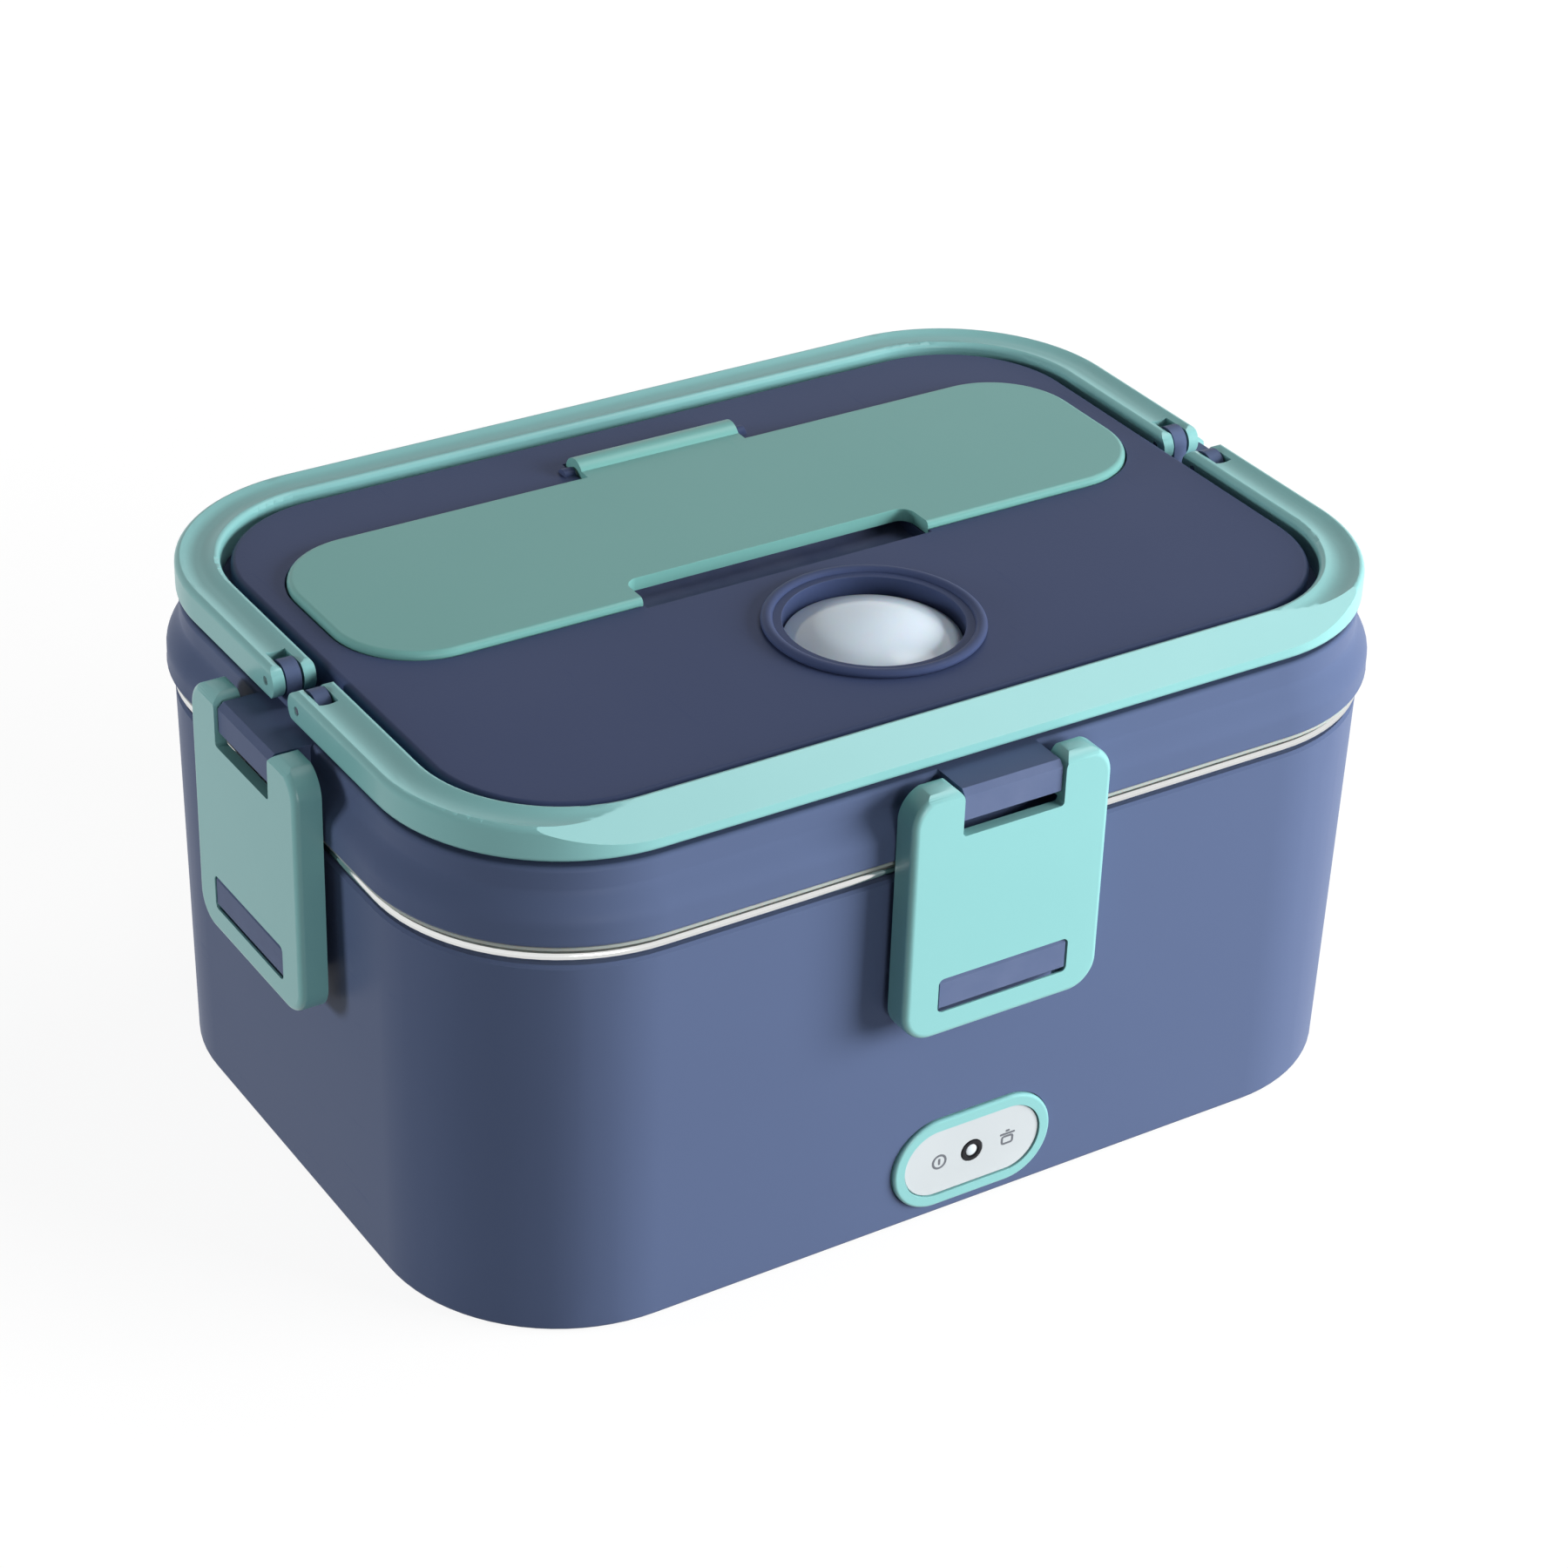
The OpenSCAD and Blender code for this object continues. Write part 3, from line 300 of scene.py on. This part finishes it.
softSkin = {"cloudScale": 40.0, "darker": 0.84, "cloudDull": 0.14, "grainDull": 0.05, "depth": 0.00001}
softLooks = {
    "heater_black": {"colour": (0.03, 0.03, 0.035), "roughness": 0.55, "grain": 900.0},
    "fuse_white": {"colour": (0.8, 0.8, 0.78), "roughness": 0.5, "grain": 900.0},
    "lead_red": {"colour": (0.45, 0.04, 0.03), "roughness": 0.45, "grain": 900.0},
    "rubber_black": {"colour": (0.03, 0.03, 0.03), "roughness": 0.75, "grain": 1200.0, "depth": 0.00003},
    "inlet_black": {"colour": (0.02, 0.02, 0.022), "roughness": 0.4, "grain": 1200.0, "depth": 0.00002},
    "board_green": {"colour": (0.02, 0.14, 0.06), "roughness": 0.4, "grain": 900.0},
    "face_white": {"colour": (0.50, 0.54, 0.56), "roughness": 0.2, "grain": 500.0, "depth": 0.000003},
    "lamp_black": {
        "colour": (0.01, 0.01, 0.013), "roughness": 0.3, "grain": 900.0,
        "even": {"Specular IOR Level": 0.2},
    },
    "liner_white": {"colour": (0.72, 0.74, 0.75), "roughness": 0.4, "grain": 900.0},
    "silicone_clear": {
        "colour": (0.34, 0.38, 0.36), "roughness": 0.4, "grain": 900.0, "depth": 0.00002,
        "even": {"Subsurface Weight": 0.15, "Subsurface Scale": 0.002},
    },
    "valve_pale": {
        "colour": (0.74, 0.86, 0.97), "roughness": 0.16, "grain": 500.0, "depth": 0.000003,
        "even": {"IOR": 1.5, "Subsurface Weight": 0.2, "Subsurface Scale": 0.003},
    },
}
finishes.update({slot: softMoulding(slot + "_finish", look) for slot, look in softLooks.items()})
printLook = {"colour": (0.12, 0.13, 0.15), "roughness": 0.4, "grain": 1500.0}
printFinish = softMoulding("print_finish", printLook)
lensLook = {
    "colour": (0.62, 0.68, 0.72), "roughness": 0.12, "grain": 700.0, "even": {"IOR": 1.5},
    "radius": 1.3 * mm, "bulge": 0.34 * mm, "sunk": 0.4 * mm,
}
lensFinish = softMoulding("lens_finish", lensLook)

slotOf = {part["node"]: part["material_slot"] for part in frame["record"]["subparts"]}
bodyOf = {}
for bodyName, members in frame["record"]["behaviour"]["bodies"].items():
    for member in members:
        bodyOf[member] = bodyName
for nodeName, node in frame["nodes"].items():
    for index in range(len(node.data.materials)):
        node.data.materials[index] = finishes[slotOf[nodeName]]
print("finishes put on the nodes")


def alone(piece):
    # Only this piece is selected and active
    bpy.ops.object.select_all(action="DESELECT")
    piece.hide_set(False)
    piece.select_set(True)
    bpy.context.view_layer.objects.active = piece


meshCare = {
    "merge": 0.004 * mm, "flat": math.radians(0.3),
    "sharp": math.radians(32), "smooth": math.radians(34),
}


def cleanCopy(nodeName, pieceName):
    # A node's copy with its loose triangles merged into whole faces
    node = frame["nodes"][nodeName]
    piece = node.copy()
    piece.data = node.data.copy()
    piece.name = pieceName
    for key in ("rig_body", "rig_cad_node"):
        del piece[key]
    piece.parent = None
    bpy.context.scene.collection.objects.link(piece)
    alone(piece)
    bpy.ops.mesh.customdata_custom_splitnormals_clear()
    bpy.ops.object.mode_set(mode="EDIT")
    bpy.ops.mesh.select_all(action="SELECT")
    bpy.ops.mesh.remove_doubles(threshold=meshCare["merge"])
    bpy.ops.mesh.dissolve_limited(angle_limit=meshCare["flat"])
    bpy.ops.object.mode_set(mode="OBJECT")
    return piece


def roundEdges(piece, width):
    # Bevels the sharp edges and marks the new faces as rubbed
    alone(piece)
    bpy.ops.object.mode_set(mode="EDIT")
    bpy.ops.mesh.select_mode(type="EDGE")
    bpy.ops.mesh.select_all(action="DESELECT")
    mesh = bmesh.from_edit_mesh(piece.data)
    count = 0
    for edge in mesh.edges:
        if len(edge.link_faces) == 2 and edge.calc_face_angle(0) > meshCare["sharp"]:
            edge.select = True
            count += 1
    mesh.select_flush_mode()
    bmesh.update_edit_mesh(piece.data)
    if count:
        bpy.ops.mesh.bevel(offset=width, segments=3, affect="EDGES", clamp_overlap=True)
    bpy.ops.object.mode_set(mode="OBJECT")
    rubbed = piece.data.attributes.new("rubbed", "FLOAT", "FACE")
    for face in piece.data.polygons:
        if face.select and count:
            rubbed.data[face.index].value = 1.0
    print("  ", piece.name, count, "edges rounded")
    return piece


def evenShading(piece):
    # Smooth faces up to a corner, with the large flat faces leading the normals
    alone(piece)
    bpy.ops.object.shade_smooth_by_angle(angle=meshCare["smooth"])
    bpy.ops.object.modifier_add(type="WEIGHTED_NORMAL")
    piece.modifiers[-1].keep_sharp = True
    bpy.ops.object.modifier_apply(modifier=piece.modifiers[-1].name)


def settle(piece, nodeName):
    # The finished piece stands for its node and rides on the node's body
    evenShading(piece)
    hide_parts(nodeName)
    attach(piece, bodyOf[nodeName])


roundings = {
    "latch_front": 0.7, "latch_right": 0.7, "latch_back": 0.7, "latch_left": 0.7,
    "handle_front": 0.5, "handle_back": 0.5,
    "cutlery_cover": 0.6, "lid_panel": 0.4, "lid_shell": 0.4, "outer_housing": 0.4,
    "indicator_bezel": 0.3, "indicator_face": 0.2, "lamp_lens": 0.15,
    "base_cover": 0.3, "rubber_feet": 0.4, "base_screws": 0.12, "power_inlet": 0.3, "inlet_pins": 0.15,
    "handle_pins": 0.12, "latch_pins": 0.12, "cover_pin": 0.12,
    "lid_liner": 0.3, "lid_seal": 0.2, "valve_dome": 0.2, "valve_seal": 0.2,
}
sealLip = {"reach": 1.7 * mm, "over": 0.35 * mm, "under": 0.15 * mm, "leaning": 0.1}


def lipOnSeal(piece, look):
    # The seal's foot swells outward between the container's rim and the lid, where it shows as a grey line
    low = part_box("food_container")[1][2] + look["over"]
    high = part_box("lid_shell")[0][2] - look["under"]
    alone(piece)
    bpy.ops.object.mode_set(mode="EDIT")
    bpy.ops.mesh.select_mode(type="FACE")
    for height in (low, high):
        bpy.ops.mesh.select_all(action="SELECT")
        bpy.ops.mesh.bisect(plane_co=(0, 0, height), plane_no=(0, 0, 1))
    bpy.ops.mesh.select_all(action="DESELECT")
    mesh = bmesh.from_edit_mesh(piece.data)
    for face in mesh.faces:
        middle = face.calc_center_median()
        upright = low < middle.z < high and abs(face.normal.z) < look["leaning"]
        face.select = upright and face.normal.xy.dot(middle.xy) > 0
    mesh.select_flush_mode()
    bmesh.update_edit_mesh(piece.data)
    bpy.ops.mesh.extrude_region_shrink_fatten(
        TRANSFORM_OT_shrink_fatten={"value": look["reach"], "use_even_offset": True})
    bpy.ops.object.mode_set(mode="OBJECT")
    print("  ", piece.name, "reaches", round(max(v.co.x for v in piece.data.vertices) * 1000, 2), "mm")


valveLook = {
    "swell": 1.04, "crown": 1.4 * mm, "crownDeep": 8 * mm,
    "ringRadius": 20.95 * mm, "ringBand": 1.2 * mm, "ringRise": 0.9 * mm, "wellLip": 0.6 * mm,
}
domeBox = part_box("valve_dome")
valveX, valveY = ((domeBox[0][axis] + domeBox[1][axis]) / 2 for axis in (0, 1))
domeRadius = (domeBox[1][0] - domeBox[0][0]) / 2


def crownDome(piece, look):
    # The dome fills its well and rises to a crown
    for vertex in piece.data.vertices:
        x, y = vertex.co.x - valveX, vertex.co.y - valveY
        fromEdge = 1.0 - min(1.0, math.hypot(x, y) / domeRadius) ** 2
        if vertex.co.z > domeBox[1][2] - look["crownDeep"]:
            raised = vertex.co.z + look["crown"] * fromEdge
            vertex.co = (valveX + x * look["swell"], valveY + y * look["swell"], raised)


def addValveRing(look):
    # A rounded ring on the panel round the valve's well
    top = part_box("lid_panel")[1][2] - look["wellLip"]
    bpy.ops.object.select_all(action="DESELECT")
    bpy.ops.mesh.primitive_torus_add(major_radius=look["ringRadius"], minor_radius=look["ringBand"],
                                     major_segments=160, minor_segments=24, location=(valveX, valveY, top))
    ring = bpy.context.active_object
    ring.scale = (1, 1, look["ringRise"] / look["ringBand"])
    bpy.ops.object.shade_smooth()
    finishAdded([ring], "valve_well_ring", finishes[slotOf["lid_panel"]], "lid_panel")


# Painted light: faces in the finger trough are marked three times as strongly as a rubbed edge, so they
# take the lighter colour
troughLight = {
    "halfWide": 30.0 * mm, "behind": 16 * mm, "inFront": 2 * mm, "deepest": 9 * mm, "highest": 0.9 * mm,
    "endTurn": 0.3, "upTurn": 0.2, "rubbed": 3.0,
}


def lightenTrough(piece, look):
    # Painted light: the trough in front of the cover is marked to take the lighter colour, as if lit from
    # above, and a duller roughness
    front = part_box("cutlery_cover")[0][1]
    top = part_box("lid_panel")[1][2]
    marked = 0
    for face in piece.data.polygons:
        x, y, z = face.center
        inTrough = abs(x) < look["halfWide"] and front - look["inFront"] < y < front + look["behind"]
        below = top - look["deepest"] < z < top - look["highest"]
        upward = abs(face.normal.x) < look["endTurn"] and face.normal.z > look["upTurn"]
        if inTrough and below and upward:
            piece.data.attributes["rubbed"].data[face.index].value = look["rubbed"]
            marked += 1
    print("  ", piece.name, marked, "faces rubbed in the trough")


for nodeName, width in roundings.items():
    piece = cleanCopy(nodeName, nodeName + "_moulding")
    if nodeName == "lid_seal":
        lipOnSeal(piece, sealLip)
    if nodeName == "valve_dome":
        crownDome(piece, valveLook)
    roundEdges(piece, width * mm)
    # The lid panel's finger trough gets painted light
    if nodeName == "lid_panel":
        lightenTrough(piece, troughLight)
    settle(piece, nodeName)
print("mouldings rounded")


# On the indicator's plate: plain printed marks for the supply and for the pot, and the lamp's lens between
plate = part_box("indicator_face")
plateX, plateZ = ((plate[0][axis] + plate[1][axis]) / 2 for axis in (0, 2))
markLook = {
    "sunk": 0.01 * mm, "high": 0.05 * mm, "line": 0.48 * mm, "strokeRound": 0.4,
    "supplyX": -7.8 * mm, "supplyRadius": 1.75 * mm, "strokeTall": 1.5 * mm,
    "potX": 8.6 * mm, "potWide": 3.0 * mm, "potTall": 2.2 * mm, "potRound": 0.7 * mm,
    "potDrop": 0.4 * mm, "lidWide": 3.6 * mm, "knobWide": 1.0 * mm, "knobRise": 0.7 * mm,
}
plateY = plate[0][1] + markLook["sunk"]


def hollow(line):
    # In edit mode: leaves a rim of the selected face
    bpy.ops.mesh.select_mode(type="FACE")
    bpy.ops.mesh.select_all(action="SELECT")
    bpy.ops.mesh.inset(thickness=line, depth=0)
    bpy.ops.mesh.delete(type="FACE")


def thicken(high):
    # In edit mode: gives a flat mark its thickness, towards the front
    bpy.ops.mesh.select_all(action="SELECT")
    bpy.ops.mesh.extrude_region_move(TRANSFORM_OT_translate={"value": (0, -high, 0)})
    bpy.ops.mesh.select_all(action="SELECT")
    bpy.ops.mesh.normals_make_consistent(inside=False)
    bpy.ops.object.mode_set(mode="OBJECT")


def roundMark(x, radius, line, high):
    bpy.ops.object.select_all(action="DESELECT")
    bpy.ops.mesh.primitive_circle_add(vertices=64, radius=radius, fill_type="NGON",
                                      rotation=(math.radians(90), 0, 0),
                                      location=(plateX + x, plateY, plateZ))
    bpy.ops.object.mode_set(mode="EDIT")
    hollow(line)
    thicken(high)
    return bpy.context.active_object


def boxMark(x, z, wide, tall, corner, high, line=None):
    bpy.ops.object.select_all(action="DESELECT")
    bpy.ops.mesh.primitive_plane_add(size=1, rotation=(math.radians(90), 0, 0),
                                     location=(plateX + x, plateY, plateZ + z))
    box = bpy.context.active_object
    box.scale = (wide, tall, 1)
    bpy.ops.object.transform_apply(location=True, rotation=True, scale=True)
    bpy.ops.object.mode_set(mode="EDIT")
    bpy.ops.mesh.select_mode(type="VERT")
    bpy.ops.mesh.select_all(action="SELECT")
    bpy.ops.mesh.bevel(offset=corner, segments=5, affect="VERTICES")
    if line:
        hollow(line)
    thicken(high)
    return box


def finishAdded(pieces, name, finish, nodeName):
    # Joins shapes that the CAD doesn't have into one piece, with the given finish and a node's body
    bpy.ops.object.select_all(action="DESELECT")
    for piece in pieces:
        piece.select_set(True)
    bpy.context.view_layer.objects.active = pieces[0]
    if len(pieces) > 1:
        bpy.ops.object.join()
    bpy.ops.object.transform_apply(location=True, rotation=True, scale=True)
    pieces[0].name = name
    pieces[0].data.materials.clear()
    pieces[0].data.materials.append(finish)
    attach(pieces[0], bodyOf[nodeName])


def markPlate(look):
    line, high, tall = look["line"], look["high"], look["potTall"]
    corner = line * look["strokeRound"]
    ring = roundMark(look["supplyX"], look["supplyRadius"], line, high)
    stroke = boxMark(look["supplyX"], 0, line, look["strokeTall"], corner, high)
    finishAdded([ring, stroke], "plate_mark_supply", printFinish, "lamp_lens")
    pot = boxMark(look["potX"], -look["potDrop"], look["potWide"], tall, look["potRound"], high, line)
    lid = boxMark(look["potX"], tall / 2, look["lidWide"], line, corner, high)
    knob = boxMark(look["potX"], tall / 2 + look["knobRise"], look["knobWide"], line, corner, high)
    finishAdded([pot, lid, knob], "plate_mark_pot", printFinish, "lamp_lens")


def addLens(look):
    # The pale lens bulges from the recess in the black lamp ring
    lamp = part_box("lamp_lens")
    bpy.ops.object.select_all(action="DESELECT")
    bpy.ops.mesh.primitive_uv_sphere_add(segments=48, ring_count=24, radius=look["radius"],
                                         location=(plateX, lamp[0][1] + look["sunk"], plateZ))
    lens = bpy.context.active_object
    lens.scale = (1, look["bulge"] / look["radius"], 1)
    bpy.ops.object.shade_smooth()
    finishAdded([lens], "lamp_pale_lens", lensFinish, "lamp_lens")


markPlate(markLook)
addLens(lensLook)
addValveRing(valveLook)
print("plate printed, valve ringed")


# Studio: a floor and sky that look white, a large low lamp from the front right and three weak ones.
# The key and left lamps give no highlights, which burned out the tops seen from behind and a raised grip
studio = {
    "sky": 0.1, "lampAim": 0.05,
    "lamps": {
        "keyLamp": {"azimuth": 48, "elevation": 9, "distance": 1.4, "size": 0.9, "power": 50,
                    "glossy": False},
        "topLamp": {"azimuth": 84, "elevation": 60, "distance": 1.4, "size": 0.6, "power": 5},
        "frontLamp": {"azimuth": -12, "elevation": 6, "distance": 1.4, "size": 0.5, "power": 5},
        "leftLamp": {"azimuth": -114, "elevation": 10, "distance": 1.4, "size": 0.3, "power": 10,
                     "glossy": False},
    },
    "floorSize": 14.0,
    "floorColour": (0.22, 0.22, 0.22),  # for bounced light
    "floorSeen": (0.8, 0.8, 0.8),  # for the camera
    "floorGlow": 0.84, "floorWhite": 1.08,  # share of plain white near the object, where its shadow falls
    "fadeFrom": 0.25, "fadeTo": 0.7,  # metres out, over which the floor turns all white
}


def sightRays(paint, *kinds):
    # 1 for the kinds of rays that should see plain white
    path = paint.tree.nodes.new("ShaderNodeLightPath")
    rays = [Wire(paint, path.outputs["Is " + kind + " Ray"]) for kind in kinds]
    return sum(rays[1:], rays[0]) > 0.5


def buildStudio(look):
    world = bpy.data.worlds.new("studioSky")
    bpy.context.scene.world = world
    world.use_nodes = True
    sky = Paint(world.node_tree, "Background")
    sky.feed("Color", (1.0, 1.0, 1.0))
    white = sightRays(sky, "Camera", "Glossy", "Transmission") * (1.0 - look["sky"])
    sky.feed("Strength", look["sky"] + white)
    for name, lamp in look["lamps"].items():
        toward = aim(lamp["azimuth"], lamp["elevation"])
        data = bpy.data.lights.new(name, "AREA")
        data.shape = "SQUARE"
        data.size = lamp["size"]
        data.energy = lamp["power"]
        placed = bpy.data.objects.new(name, data)
        bpy.context.scene.collection.objects.link(placed)
        placed.visible_glossy = lamp.get("glossy", True)
        placed.location = toward * lamp["distance"] + Vector((0, 0, look["lampAim"]))
        placed.rotation_euler = toward.to_track_quat("Z", "Y").to_euler()
    bpy.ops.object.select_all(action="DESELECT")
    bpy.ops.mesh.primitive_plane_add(size=look["floorSize"], location=(0, 0, 0))
    floor = bpy.context.active_object
    floor.name = "studioFloor"
    material, ground = newFinish("studioFloorPaint", {"Roughness": 0.9, "Specular IOR Level": 0.0})
    seen = ground.blend(sightRays(ground, "Camera"), look["floorColour"], look["floorSeen"])
    ground.feed("Base Color", seen)
    glow = ground.node("Emission", {}, {"Color": (1.0, 1.0, 1.0), "Strength": look["floorWhite"]})
    shaded = Wire(ground, ground.shader.outputs[0])
    away = ground.node("VectorMath", {"operation": "LENGTH"}, {0: ground.objectPlace()}, "Value")
    far = ground.node("MapRange", {"interpolation_type": "SMOOTHSTEP"}, {
        "Value": away, "From Min": look["fadeFrom"], "From Max": look["fadeTo"]})
    share = far * (1.0 - look["floorGlow"]) + look["floorGlow"]
    glowing = sightRays(ground, "Camera", "Glossy", "Transmission") * share
    mixed = ground.node("MixShader", {}, {0: glowing, 1: shaded, 2: glow})
    ground.tree.links.new(mixed.socket, ground.tree.nodes["Material Output"].inputs["Surface"])
    floor.data.materials.append(material)


buildStudio(studio)
bpy.context.scene.view_settings.view_transform = "Standard"
print("studio lit")
